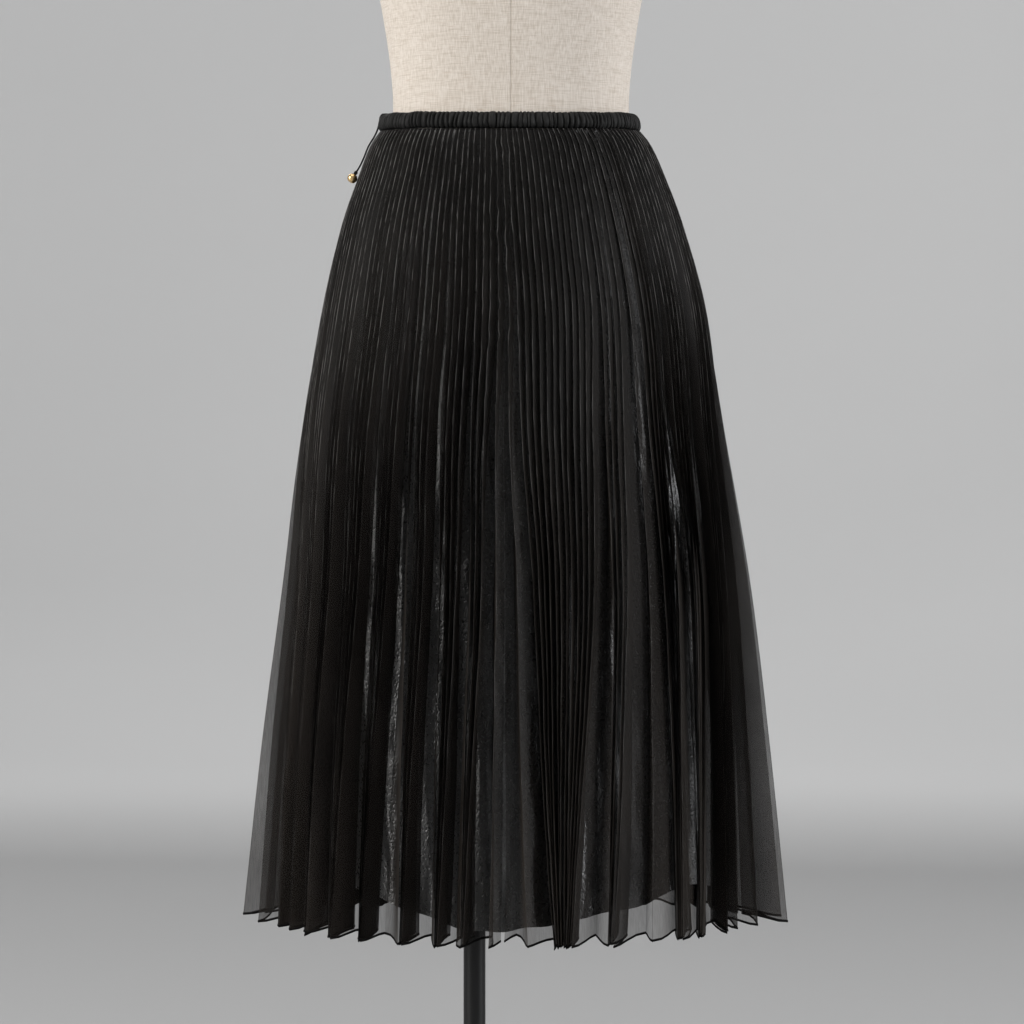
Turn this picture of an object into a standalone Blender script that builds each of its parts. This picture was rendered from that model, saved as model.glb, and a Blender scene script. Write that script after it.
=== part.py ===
"""Pleated maxi skirt on a limbless dress form that stands on its pole and round base.

Metres, +Z up. The origin is the foot of the pole, on the floor. The side with the sewn centre
seam faces -Y, and +X is to its right. The skirt has a sunray-pleated outer layer in two halves,
a smooth lining in two panels, a gathered waistband, and the free end of a tie with its bead.
"""

import math
from collections import namedtuple

import bmesh
import bpy
from mathutils import Vector

MM = 0.001

# The axis of the form, and of the skirt round it, stands beside the pole.
FORM_AXIS_X = 36.5 * MM

# Heights above the floor.
BAND_TOP = 1040.0 * MM
BAND_HEIGHT = 16.5 * MM
# The waistband sits this much higher at the sides than at the middle.
WAIST_SIDE_RISE = 4.5 * MM
SEAM_GAP = 0.3 * MM
CLOTH_TOP = BAND_TOP - BAND_HEIGHT - SEAM_GAP

# The pleated layer: its drop to the hem, its pleats, and one pleat face from fold to fold.
OUTER_DROP = 781.0 * MM
PLEATS = 140
FOLDS = 2 * PLEATS
FACE_AT_WAIST = 4.2 * MM
FACE_AT_HEM = 30.0 * MM
OUTER_WALL = 1.0 * MM
OUTER_RINGS = (0.0, 12.0, 40.0, 95.0, 180.0, 300.0, 450.0, 610.0, 781.0)
SEAM_OFFSET = -13.0 * MM
# How soon the pleats leave their even spacing on the way down.
BUNCH_POWER = 1.4
# Where the pleats that stand out at the sides start to do so, as a share of the drop.
PROUD_START = 0.30
# The hem is a little lower at the middle of each side than at the silhouettes.
HEM_DIP = 6.0 * MM
VALLEY_LIFT = 4.5 * MM

# The lining.
LINING_DROP = 752.0 * MM
LINING_WALL = 1.0 * MM
LINING_COLUMNS = 36
LINING_RINGS = (0.0, 12.0, 40.0, 95.0, 180.0, 300.0, 500.0, 752.0)
LINING_WAVES = 9
LINING_WAVE_DEPTH = 5.0 * MM

# The waistband is a gathered casing round the form.
BAND_GATHERS = 60
# The casing is fuller at the sides than at the middle, by this share.
BAND_SIDE_FULLNESS = 0.2
BAND_GATHER_DEPTH = 1.1 * MM
BAND_CLEARANCE = 0.5 * MM

# The tie's free end.
TIE_RADIUS = 0.9 * MM
TIE_POINTS = 26
BEAD_RADIUS = 5.0 * MM

# The stand.
POLE_RADIUS = 11.0 * MM
BASE_TOP = 22.0 * MM

# The pleats lean over sideways, fully from this share of the drop on, and not all alike.
LEAN = math.radians(38.0)
LEAN_FULL_SHARE = 0.42
LEAN_UNEVEN = 0.06
SIDE_FOLD = FOLDS // 4
UPRIGHT_FOLDS = 42
# No pleat lies flatter than this share of its face's width.
SHALLOWEST = 0.35

Reach = namedtuple("Reach", "drop left right near far")
Section = namedtuple("Section", "height half_width near far squareness")
Corner = namedtuple("Corner", "out height gathered")
Turn = namedtuple("Turn", "radius height")
OpenPleat = namedtuple("OpenPleat", "fold first second")
ProudFold = namedtuple("ProudFold", "fold reach")
RouteStep = namedtuple("RouteStep", "drop forward out")
HemPoint = namedtuple("HemPoint", "turn lift")

# Reach of the pleat ridges from the form's axis, in mm, at each drop below the waistband.
OUTER_REACH = (
    Reach(0.0, 131.5, 130.0, 93.5, 94.0),
    Reach(12.0, 140.0, 139.5, 102.0, 101.0),
    Reach(40.0, 151.0, 152.5, 113.5, 110.0),
    Reach(95.0, 170.0, 173.0, 131.0, 123.0),
    Reach(180.0, 189.5, 196.0, 150.0, 140.0),
    Reach(300.0, 208.0, 210.5, 170.0, 163.0),
    Reach(450.0, 219.0, 227.5, 190.0, 187.0),
    Reach(610.0, 232.0, 237.5, 208.0, 208.0),
    Reach(781.0, 241.5, 245.0, 228.0, 228.0),
)

# Reach of the lining's middle surface from the form's axis, in mm.
LINING_REACH = (
    Reach(0.0, 122.2, 122.2, 86.0, 87.0),
    Reach(12.0, 124.6, 124.6, 88.0, 88.6),
    Reach(40.0, 136.6, 136.6, 98.0, 94.6),
    Reach(95.0, 154.6, 154.6, 115.5, 102.0),
    Reach(180.0, 169.6, 170.5, 132.0, 110.0),
    Reach(300.0, 183.0, 184.0, 140.0, 122.0),
    Reach(500.0, 188.0, 193.0, 152.0, 140.0),
    Reach(752.0, 189.0, 203.0, 175.0, 166.0),
)

# How much the lining's hem lies above its even line, in mm, at turns in degrees from the
# middle of the -Y side. It is longest there.
LINING_HEM = (
    HemPoint(-180.0, 5.0),
    HemPoint(-110.0, 8.0),
    HemPoint(-60.0, 13.0),
    HemPoint(-42.0, 3.0),
    HemPoint(-30.0, -8.0),
    HemPoint(-20.0, -21.0),
    HemPoint(-10.0, -24.0),
    HemPoint(3.0, -21.0),
    HemPoint(25.0, -12.0),
    HemPoint(38.0, 1.0),
    HemPoint(53.0, 9.0),
    HemPoint(90.0, 9.0),
    HemPoint(180.0, 5.0),
)

# Sections of the dress form, in mm: a general figure with smooth, closed shoulders.
FORM_SECTIONS = (
    Section(722.0, 156.0, 114.0, 97.0, 2.0),
    Section(760.0, 163.0, 122.0, 101.0, 2.0),
    Section(830.0, 166.0, 127.0, 104.0, 2.0),
    Section(880.0, 162.0, 122.0, 102.5, 2.0),
    Section(930.0, 151.0, 112.0, 98.5, 2.0),
    Section(980.0, 134.5, 96.0, 92.0, 2.0),
    Section(1006.0, 124.0, 87.0, 87.5, 2.0),
    Section(1024.0, 120.5, 84.2, 85.2, 2.0),
    Section(1040.0, 118.4, 82.8, 83.8, 2.0),
    Section(1060.0, 118.0, 82.5, 83.5, 2.0),
    Section(1100.0, 121.5, 86.0, 88.0, 2.0),
    Section(1154.0, 130.0, 91.0, 98.0, 2.05),
    Section(1205.0, 140.0, 95.0, 110.0, 2.1),
    Section(1245.0, 147.0, 98.0, 117.5, 2.15),
    Section(1290.0, 152.0, 99.5, 113.5, 2.2),
    Section(1338.0, 158.0, 97.0, 99.0, 2.25),
    Section(1378.0, 164.0, 89.0, 84.0, 2.3),
    Section(1402.0, 158.0, 79.0, 72.0, 2.25),
    Section(1420.0, 138.0, 70.0, 61.0, 2.15),
    Section(1434.0, 107.0, 62.5, 54.0, 2.05),
    Section(1446.0, 74.0, 57.0, 48.0, 2.0),
    Section(1464.0, 58.0, 53.0, 45.0, 2.0),
    Section(1500.0, 54.0, 50.0, 43.0, 2.0),
)
FORM_COLUMNS = 40

# Pleats that lie open at the hem on the -Y side: the fold that each starts from, and how far its
# two faces reach round the skirt, in mm of unstretched cloth. Face n runs from fold n to fold
# n + 1, face 0 holds the sewn seam, and the numbers grow towards +X. The +Y side mirrors them.
OPEN_PLEATS = (
    OpenPleat(-64, 16.0, 10.0), OpenPleat(-56, 20.0, 12.0), OpenPleat(-48, 24.0, 16.0),
    OpenPleat(-40, 22.0, 14.0), OpenPleat(-32, 26.0, 10.0), OpenPleat(-24, 16.0, 26.0),
    OpenPleat(-16, 19.0, 14.0), OpenPleat(-10, 13.0, 10.0), OpenPleat(-2, 18.0, 7.0),
    OpenPleat(0, 21.0, 16.0), OpenPleat(6, 17.0, 15.0), OpenPleat(18, 20.0, 8.0),
    OpenPleat(26, 23.0, 6.0), OpenPleat(32, 23.0, 14.0), OpenPleat(40, 17.0, 8.0),
    OpenPleat(48, 28.0, 10.0), OpenPleat(56, 24.0, 14.0), OpenPleat(62, 20.0, 12.0),
)
# A thick wall needs room between the closed pleats, so the open ones take this much less.
OPEN_SCALE = 0.85
QUARTERS = 4

# Folds of the pleat that stands out as a wing at each side, and how far at the hem, in mm.
PROUD_FOLDS = (
    ProudFold(69, 26.0), ProudFold(70, 32.0), ProudFold(71, 26.0),
    ProudFold(209, 25.0), ProudFold(210, 30.0), ProudFold(211, 25.0),
)

# The casing's section: how far each corner stands out from the form, its height above the
# casing's lower edge, in mm, and how much of the gathers' depth it takes.
BAND_SECTION = (
    Corner(0.0, 0.6, 0.0), Corner(6.0, 0.0, 0.5), Corner(9.8, 3.2, 1.0),
    Corner(9.4, 10.0, 1.0), Corner(6.4, 15.2, 0.8), Corner(0.0, 15.8, 0.0),
)
BAND_RIPPLES = (0.0, 0.35, -0.2, 0.15, -0.35, 0.25, -0.1, 0.3, -0.25, 0.05, -0.3)

# Route of the tie's end down the -X side: the drop below its start, how far it has swung
# towards -Y, and its distance from the form's axis, in mm.
TIE_TOP = 1033.0 * MM
TIE_ROUTE = (
    RouteStep(0.0, 8.0, 132.25), RouteStep(4.0, 8.1, 133.5), RouteStep(10.0, 8.5, 136.2),
    RouteStep(20.0, 9.5, 142.1), RouteStep(32.0, 11.0, 146.9), RouteStep(40.0, 12.2, 150.6),
    RouteStep(48.0, 13.5, 155.4),
)

# The base's profile, from the middle of its top to the middle of its underside, in mm.
BASE_PROFILE = (
    Turn(0.0, 22.0), Turn(19.0, 22.0), Turn(22.0, 20.5), Turn(60.0, 14.0), Turn(120.0, 9.5),
    Turn(158.0, 7.5), Turn(163.5, 6.0), Turn(165.0, 4.0), Turn(164.0, 0.8), Turn(162.5, 0.0),
    Turn(0.0, 0.0),
)


def clear_scene():
    for thing in list(bpy.data.objects):
        bpy.data.objects.remove(thing, do_unlink=True)


def waist_rise(angle):
    """How much higher the waistband's line lies at this angle round the form."""
    return WAIST_SIDE_RISE * math.sin(angle) ** 2


def material(name, colour, roughness, metallic=0.0):
    made = bpy.data.materials.new(name)
    made.use_nodes = True
    shader = made.node_tree.nodes["Principled BSDF"]
    shader.inputs["Base Color"].default_value = (*colour, 1.0)
    shader.inputs["Roughness"].default_value = roughness
    shader.inputs["Metallic"].default_value = metallic
    return made


def add_object(name, builder, finish, collection):
    """A new object in the collection from a bmesh, its faces turned outwards."""
    bmesh.ops.recalc_face_normals(builder, faces=builder.faces[:])
    if builder.calc_volume(signed=True) < 0:
        bmesh.ops.reverse_faces(builder, faces=builder.faces[:])
    mesh = bpy.data.meshes.new(name)
    builder.to_mesh(mesh)
    builder.free()
    mesh.materials.append(finish)
    made = bpy.data.objects.new(name, mesh)
    collection.objects.link(made)
    return made


def curve_through(rows, at, column):
    """Value of a table's column at a place in its first column, on a smooth curve."""
    places = [row[0] for row in rows]
    values = [getattr(row, column) for row in rows]
    if at <= places[0]:
        return values[0]
    if at >= places[-1]:
        return values[-1]
    k = max(i for i in range(len(places) - 1) if places[i] <= at)
    span = places[k + 1] - places[k]
    share = (at - places[k]) / span

    def slope(i):
        before, after = max(i - 1, 0), min(i + 1, len(places) - 1)
        return (values[after] - values[before]) / (places[after] - places[before])

    square, cube = share * share, share ** 3
    start = (2 * cube - 3 * square + 1) * values[k] + (cube - 2 * square + share) * span * slope(k)
    end = (3 * square - 2 * cube) * values[k + 1] + (cube - square) * span * slope(k + 1)
    return start + end


class Ring:
    """The oval that the cloth follows at one drop, measured along its own length.

    Length 0 is the point nearest -Y, and the length grows towards +X."""

    STEPS = 720

    def __init__(self, rows, drop):
        left, right, near, far = (
            curve_through(rows, drop, side) * MM for side in ("left", "right", "near", "far")
        )
        self.centre = Vector((FORM_AXIS_X + (right - left) / 2, (far - near) / 2, 0.0))
        self.wide, self.deep = (left + right) / 2, (near + far) / 2
        self.lengths = [0.0]
        last = self.at_angle(0.0)
        for k in range(1, self.STEPS + 1):
            point = self.at_angle(math.tau * k / self.STEPS)
            self.lengths.append(self.lengths[-1] + (point - last).length)
            last = point
        self.length = self.lengths[-1]

    def at_angle(self, angle):
        return self.centre + Vector((self.wide * math.sin(angle), -self.deep * math.cos(angle), 0.0))

    def angle_at(self, length):
        turns, rest = divmod(length, self.length)
        low, high = 0, self.STEPS
        while high - low > 1:
            middle = (low + high) // 2
            if self.lengths[middle] <= rest:
                low = middle
            else:
                high = middle
        share = (rest - self.lengths[low]) / (self.lengths[high] - self.lengths[low])
        return math.tau * (turns + (low + share) / self.STEPS)

    def outward(self, angle):
        return Vector((math.sin(angle) / self.wide, -math.cos(angle) / self.deep, 0.0)).normalized()


def hem_gaps():
    """Gap of every face at the hem, in mm, with each quarter of the skirt kept to its own arc."""
    gaps = [0.0] * FOLDS
    for row in OPEN_PLEATS:
        far = PLEATS - 2 - row.fold
        for face, gap in (
            (row.fold, row.first), (row.fold + 1, row.second),
            (far, row.second), (far + 1, row.first),
        ):
            gaps[face % FOLDS] = gap * OPEN_SCALE
    quarter_arc = Ring(OUTER_REACH, OUTER_DROP / MM).length / MM / QUARTERS
    per_quarter = FOLDS // QUARTERS
    for quarter in range(QUARTERS):
        faces = range(quarter * per_quarter, (quarter + 1) * per_quarter)
        closed = [face for face in faces if gaps[face] == 0.0]
        open_length = sum(gaps[face] for face in faces)
        for face in closed:
            gaps[face] = (quarter_arc - open_length) / len(closed)
    return gaps


HEM_GAPS = hem_gaps()
PROUD = {row.fold: row.reach for row in PROUD_FOLDS}


def eased(share):
    """0 to 1 with a soft start and end."""
    share = min(1.0, max(0.0, share))
    return share * share * (3 - 2 * share)


def lean_angle(fold, share):
    """How far a pleat leans over sideways. At the sides the pleats point straight at the form."""
    from_side = min(abs(fold - side) for side in (-SIDE_FOLD, SIDE_FOLD, FOLDS - SIDE_FOLD))
    uneven = 1 + LEAN_UNEVEN * math.sin(0.19 * fold)
    return LEAN * eased(share / LEAN_FULL_SHARE) * eased(from_side / UPRIGHT_FOLDS) * uneven


def fold_lines(drop):
    """The place of each fold of the pleated layer, at a drop in mm below the waistband."""
    share = drop * MM / OUTER_DROP
    ring = Ring(OUTER_REACH, drop)
    width = FACE_AT_WAIST + (FACE_AT_HEM - FACE_AT_WAIST) * share
    bunch = share ** BUNCH_POWER
    total = sum(HEM_GAPS)
    gaps = [ring.length * ((1 - bunch) / FOLDS + bunch * gap / total) for gap in HEM_GAPS]
    proud_share = max(0.0, (share - PROUD_START) / (1 - PROUD_START))
    length = SEAM_OFFSET - gaps[0] / 2
    lines = []
    for fold in range(FOLDS):
        gap = (gaps[fold - 1] + gaps[fold]) / 2
        depth = math.sqrt(max(width ** 2 - gap ** 2, (SHALLOWEST * width) ** 2))
        middle_depth = depth / (1 + OUTER_WALL / gap)
        inward = (depth + middle_depth * (1 if fold % 2 else -1)) / 2
        lean = lean_angle(fold, share)
        angle = ring.angle_at(length + inward * math.sin(lean))
        inward = inward * math.cos(lean) - PROUD.get(fold, 0.0) * MM * proud_share
        place = ring.at_angle(angle) - ring.outward(angle) * inward
        dip = HEM_DIP * share ** 2 * math.cos(angle) ** 2
        lift = VALLEY_LIFT * share ** 2 * (fold % 2)
        place.z = CLOTH_TOP - drop * MM + waist_rise(angle) * (1 - share) - dip + lift
        lines.append(place)
        length += gaps[fold]
    return lines


def set_off(points, distance):
    """A line of points in one layer of cloth, moved to its outer or inner face, corners mitred."""
    moved = []
    for index, point in enumerate(points):
        before = points[max(index - 1, 0)]
        after = points[min(index + 1, len(points) - 1)]
        sides = []
        for start, end in ((before, point), (point, after)):
            run = Vector((end.x - start.x, end.y - start.y))
            if run.length:
                run.normalize()
                sides.append(Vector((run.y, -run.x, 0.0)))
        first, last = sides[0], sides[-1]
        moved.append(point + (first + last) * (distance / (1 + first.dot(last))))
    return moved


def walled_sheet(name, rings, wall, finish, collection):
    """A closed wall of cloth from its rings of points, the lowest first."""
    outer = [set_off(points, wall / 2) for points in rings]
    inner = [set_off(points, -wall / 2) for points in rings]
    columns, rows = len(rings[0]), len(rings)
    builder = bmesh.new()
    bmesh.ops.create_grid(builder, x_segments=columns - 1, y_segments=rows - 1, size=1.0)
    bmesh.ops.solidify(builder, geom=builder.faces[:], thickness=0.5)
    middle = sum(vertex.co.z for vertex in builder.verts) / len(builder.verts)
    for vertex in builder.verts:
        column = round((vertex.co.x + 1.0) / 2.0 * (columns - 1))
        row = round((vertex.co.y + 1.0) / 2.0 * (rows - 1))
        vertex.co = (outer if vertex.co.z > middle else inner)[row][column]
    return add_object(name, builder, finish, collection)


def pleated_half(name, first_face, finish, collection):
    """Half of the pleated layer, from the middle of one face to the middle of another."""
    rings = []
    for drop in reversed(OUTER_RINGS):
        lines = fold_lines(drop)
        run = [lines[(first_face + k) % FOLDS] for k in range(PLEATS + 2)]
        for end, beside in ((0, 1), (-1, -2)):
            middle = (run[end] + run[beside]) / 2
            run[end] = middle.lerp(run[beside], SEAM_GAP / (run[beside] - middle).length / 2)
        rings.append(run)
    return walled_sheet(name, rings, OUTER_WALL, finish, collection)


def lining_panel(name, first_column, finish, collection):
    """One of the lining's two panels, from side seam to side seam."""
    rings = []
    for drop in reversed(LINING_RINGS):
        ring = Ring(LINING_REACH, drop)
        share = drop * MM / LINING_DROP
        run = []
        for column in range(LINING_COLUMNS + 1):
            length = ring.length * (first_column + column) / (2 * LINING_COLUMNS)
            if column == 0:
                length += SEAM_GAP / 2
            elif column == LINING_COLUMNS:
                length -= SEAM_GAP / 2
            angle = ring.angle_at(length)
            wave = math.cos(LINING_WAVES * angle) * LINING_WAVE_DEPTH * share ** 2
            point = ring.at_angle(angle) + ring.outward(angle) * wave
            turn = (math.degrees(angle) + 180.0) % 360.0 - 180.0
            rise = curve_through(LINING_HEM, turn, "lift") * MM * share ** 3
            point.z = CLOTH_TOP - drop * MM + waist_rise(angle) * (1 - share) + rise
            run.append(point)
        rings.append(run)
    return walled_sheet(name, rings, LINING_WALL, finish, collection)


def form_section(height):
    """The form's section at a height in mm."""
    columns = ("half_width", "near", "far", "squareness")
    return Section(height, *(curve_through(FORM_SECTIONS, height, column) for column in columns))


def oval_point(section, angle, grow=0.0):
    """A point of one of the form's sections, a squared oval, grown outwards by a distance."""
    power = 2.0 / section.squareness
    across, along = math.sin(angle), -math.cos(angle)
    deep, middle = (section.near + section.far) / 2, (section.far - section.near) / 2
    x = math.copysign(abs(across) ** power, across) * (section.half_width * MM + grow)
    y = middle * MM + math.copysign(abs(along) ** power, along) * (deep * MM + grow)
    return Vector((FORM_AXIS_X + x, y, section.height * MM))


def dress_form(name, finish, collection):
    """The torso, one closed loft through its sections, flat underneath and at the neck."""
    builder = bmesh.new()
    bmesh.ops.create_cone(
        builder, cap_ends=True, cap_tris=False, segments=FORM_COLUMNS,
        radius1=1.0, radius2=1.0, depth=2.0,
    )
    uprights = [edge for edge in builder.edges if edge.verts[0].co.z * edge.verts[1].co.z < 0]
    bmesh.ops.subdivide_edges(builder, edges=uprights, cuts=len(FORM_SECTIONS) - 2, use_grid_fill=True)
    for vertex in builder.verts:
        row = round((vertex.co.z + 1.0) / 2.0 * (len(FORM_SECTIONS) - 1))
        angle = math.atan2(vertex.co.x, -vertex.co.y)
        vertex.co = oval_point(FORM_SECTIONS[row], angle)
    return add_object(name, builder, finish, collection)


def waistband(name, finish, collection):
    """The gathered casing, a ring swept round the form with a ridge for each gather."""
    builder = bmesh.new()
    bmesh.ops.create_grid(
        builder, x_segments=2 * BAND_GATHERS, y_segments=len(BAND_SECTION), size=1.0
    )
    for vertex in builder.verts:
        column = round((vertex.co.x + 1.0) * BAND_GATHERS) % (2 * BAND_GATHERS)
        row = round((vertex.co.y + 1.0) / 2.0 * len(BAND_SECTION)) % len(BAND_SECTION)
        corner = BAND_SECTION[row]
        angle = math.tau * column / (2 * BAND_GATHERS)
        height = BAND_TOP - BAND_HEIGHT + corner.height * MM
        ripple = BAND_RIPPLES[(column * 7) % len(BAND_RIPPLES)] * MM
        ridge = (0.5 if column % 2 else -0.5) * BAND_GATHER_DEPTH + ripple
        grow = BAND_CLEARANCE + corner.out * MM * (1.0 + BAND_SIDE_FULLNESS * math.sin(angle) ** 2)
        vertex.co = oval_point(form_section(height / MM), angle, grow + ridge * corner.gathered)
        vertex.co.z += waist_rise(angle) + ripple * corner.gathered * 0.6
    bmesh.ops.remove_doubles(builder, verts=builder.verts[:], dist=0.00001)
    return add_object(name, builder, finish, collection)


def tie_route():
    """The tie's points from the waistband's casing down to the bead."""
    points = []
    steps = [TIE_ROUTE[0].drop + (TIE_ROUTE[-1].drop - TIE_ROUTE[0].drop) * k / (TIE_POINTS - 1)
             for k in range(TIE_POINTS)]
    for drop in steps:
        out = curve_through(TIE_ROUTE, drop, "out") * MM
        forward = curve_through(TIE_ROUTE, drop, "forward") * MM
        points.append(Vector((FORM_AXIS_X - out, -forward, TIE_TOP - drop * MM)))
    return points


def tie_cord(name, finish, collection):
    """The tie, a round cord along its free stretch."""
    curve = bpy.data.curves.new(name, "CURVE")
    curve.dimensions = "3D"
    curve.bevel_depth = TIE_RADIUS
    curve.bevel_resolution = 2
    curve.use_fill_caps = True
    route = tie_route()
    spline = curve.splines.new("POLY")
    spline.points.add(len(route) - 1)
    for point, place in zip(spline.points, route):
        point.co = (*place, 1.0)
    curve.materials.append(finish)
    made = bpy.data.objects.new(name, curve)
    collection.objects.link(made)
    return made


def tie_bead(name, finish, collection):
    """The bead below the cord's end, in line with it."""
    route = tie_route()
    run = (route[-1] - route[-2]).normalized()
    centre = route[-1] + run * (BEAD_RADIUS + SEAM_GAP)
    builder = bmesh.new()
    bmesh.ops.create_uvsphere(builder, u_segments=16, v_segments=10, radius=BEAD_RADIUS)
    bmesh.ops.translate(builder, verts=builder.verts[:], vec=centre)
    return add_object(name, builder, finish, collection)


def pole(name, finish, collection):
    builder = bmesh.new()
    bottom, top = BASE_TOP + SEAM_GAP, FORM_SECTIONS[0].height * MM - SEAM_GAP
    bmesh.ops.create_cone(
        builder, cap_ends=True, segments=32, radius1=POLE_RADIUS, radius2=POLE_RADIUS,
        depth=top - bottom,
    )
    bmesh.ops.translate(builder, verts=builder.verts[:], vec=(0.0, 0.0, (top + bottom) / 2))
    return add_object(name, builder, finish, collection)


def round_base(name, finish, collection):
    """The base, its profile spun round the pole."""
    builder = bmesh.new()
    corners = [builder.verts.new((row.radius * MM, 0.0, row.height * MM)) for row in BASE_PROFILE]
    edges = [builder.edges.new(pair) for pair in zip(corners, corners[1:])]
    bmesh.ops.spin(
        builder, geom=corners + edges, axis=(0.0, 0.0, 1.0), cent=(0.0, 0.0, 0.0),
        angle=math.tau, steps=48, use_merge=True,
    )
    bmesh.ops.remove_doubles(builder, verts=builder.verts[:], dist=0.00001)
    return add_object(name, builder, finish, collection)


def main():
    clear_scene()
    skirt = bpy.data.collections.new("pleated_skirt_on_dress_form")
    bpy.context.scene.collection.children.link(skirt)
    pleats = material("black_organza", (0.03, 0.027, 0.026), 0.55)
    satin = material("black_satin", (0.025, 0.024, 0.026), 0.32)
    band = material("black_gathered_cloth", (0.028, 0.026, 0.026), 0.5)
    linen = material("natural_linen", (0.62, 0.56, 0.48), 0.85)
    black_metal = material("black_metal", (0.03, 0.03, 0.032), 0.35, 0.6)
    cord = material("black_cord", (0.02, 0.02, 0.02), 0.6)
    gold = material("gold_metal", (0.75, 0.52, 0.22), 0.3, 1.0)

    pleated_half("outer_right", 0, pleats, skirt)
    pleated_half("outer_left", PLEATS, pleats, skirt)
    lining_panel("lining_near", -LINING_COLUMNS / 2, satin, skirt)
    lining_panel("lining_far", LINING_COLUMNS / 2, satin, skirt)
    waistband("waistband", band, skirt)
    tie_cord("tie_cord", cord, skirt)
    tie_bead("tie_bead", gold, skirt)
    dress_form("form_torso", linen, skirt)
    pole("stand_pole", black_metal, skirt)
    round_base("stand_base", black_metal, skirt)


main()
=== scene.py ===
import math
from collections import namedtuple

import bmesh
import bpy
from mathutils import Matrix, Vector, noise


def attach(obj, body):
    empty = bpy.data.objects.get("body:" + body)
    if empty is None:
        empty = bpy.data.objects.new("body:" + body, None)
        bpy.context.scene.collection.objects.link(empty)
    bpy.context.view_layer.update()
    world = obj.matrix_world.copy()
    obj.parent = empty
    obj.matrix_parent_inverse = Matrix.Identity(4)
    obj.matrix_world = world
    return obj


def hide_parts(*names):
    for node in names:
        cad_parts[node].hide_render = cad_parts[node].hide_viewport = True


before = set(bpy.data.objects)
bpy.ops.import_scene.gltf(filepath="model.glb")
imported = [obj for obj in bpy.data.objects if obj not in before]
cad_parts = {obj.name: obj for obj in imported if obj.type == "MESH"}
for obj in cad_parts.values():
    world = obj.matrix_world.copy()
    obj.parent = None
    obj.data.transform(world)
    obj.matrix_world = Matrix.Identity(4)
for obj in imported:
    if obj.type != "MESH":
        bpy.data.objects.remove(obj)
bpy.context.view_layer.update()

MM = 0.001

# The camera stands level with the middle of the skirt.
CAMERA_X = 37.5 * MM
CAMERA_HEIGHT = 648.0 * MM
CAMERA_DISTANCE = 4.08
CAMERA_LENS = 143.4

# Heights and the form's axis, as in the solids.
FORM_AXIS_X = 36.5 * MM
BAND_TOP = 1040.0 * MM
BAND_HEIGHT = 16.5 * MM
WAIST_SIDE_RISE = 4.5 * MM
SEAM_GAP = 0.3 * MM
CLOTH_TOP = BAND_TOP - BAND_HEIGHT - SEAM_GAP

# The pleated layer.
OUTER_DROP = 781.0 * MM
PLEATS = 140
FOLDS = 2 * PLEATS
FACE_AT_WAIST = 7.0 * MM
FACE_AT_HEM = 30.0 * MM
OUTER_ROWS = 104
FACE_STEPS = 4
SEAM_OFFSET = -13.0 * MM
# The two halves stop this share of a face short of each other.
SEAM_SHARE = 0.005
# How soon the pleats leave their even spacing on the way down, at the middle and at the sides.
BUNCH_POWER = 1.4
BUNCH_POWER_AT_SIDES = 0.7
# Faces from the side to where the change begins, and faces that the change takes.
BUNCH_SIDE_FACES = 8.0
BUNCH_CHANGE_FACES = 40.0
# The pleats lie flatter at the waist than at the hem, where each leans in its own way. On the
# right they turn their lean at an angle from the middle, so that they show up to the outline.
LEAN_AT_WAIST = math.radians(68.0)
LEAN_AT_HEM = math.radians(10.0)
LEAN_UNEVEN = math.radians(20.0)
LEAN_WITH_TURN = 0.8
LEAN_TURNS_BACK = (53.0, 56.0)
SIDE_FADE = 12.0
LEAN_CHANGE = (0.12, 0.62)
SIDE_FOLD = FOLDS // 4
UPRIGHT_FOLDS = 18
SHALLOWEST = 0.3
RIDGE_DEPTH = 0.03
VALLEY_DEPTH = 0.97
# From this share of the drop the proud folds stand out.
PROUD_START = 0.30
QUARTERS = 4
# How far the folds sway sideways: towards the hem, all the way down, and near the waist.
HEM_SWAY = 1.6 * MM
FINE_SWAY = 0.45 * MM
WAIST_SWAY = 0.7 * MM
# The puckers beside the seams. They reach a few folds away, and fade out from a drop in mm over a
# length in mm.
PUCKER_SIZE = 1.3 * MM
PUCKER_DEPTH = 0.6
PUCKER_FOLDS = 4.2
PUCKER_FADE = (200.0, 140.0)
# How far a face bows out and twists, as a share of its width.
FACE_BOW_AT_WAIST = 0.05
FACE_BOW_TO_HEM = 0.13
FACE_TWIST = 0.04
# The hem.
HEM_DIP = 6.0 * MM
VALLEY_LIFT = 8.0 * MM
HEM_WAVER = 2.5 * MM
HEM_ROLL = 1.25 * MM
HEM_ROLL_FLATNESS = 0.45
HEM_ROLL_SIDES = 5

# The lining.
LINING_DROP = 752.0 * MM
LINING_COLUMNS = 260
LINING_ROWS = 150
LINING_WIDTH = 0.6
LINING_WAVES = 9
LINING_WAVE_DEPTH = 5.0 * MM
LINING_GATHERS = 34
LINING_GATHERS_VARY = 5
LINING_HEM_WAVER = 2.5 * MM
SOFT_WAVES = 2.6 * MM
GATHER_SIZE = 2.0 * MM
CRINKLE_SIZE = 1.1 * MM
FINE_CRINKLE = 0.45 * MM
SEAM_COLUMNS = 6

# The waistband's casing.
BAND_COLUMNS = 1500
BAND_ROWS = 20
BAND_GATHERS = 150
BAND_GATHER_DEPTH = 2.6 * MM
BAND_CLEARANCE = 0.5 * MM
BAND_HELD = 6.0
BAND_RIM_RISE = 0.96 * MM
BAND_FOOT_RISE = 0.24 * MM
BAND_WAVER = 0.5 * MM
# The casing swells where the tie comes out.
TIE_EXIT_TURN = math.radians(266.5)
TIE_PUFF = 3.4 * MM
TIE_PUFF_RISE = 3.0 * MM
TIE_PUFF_WIDTH = 0.035

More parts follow.
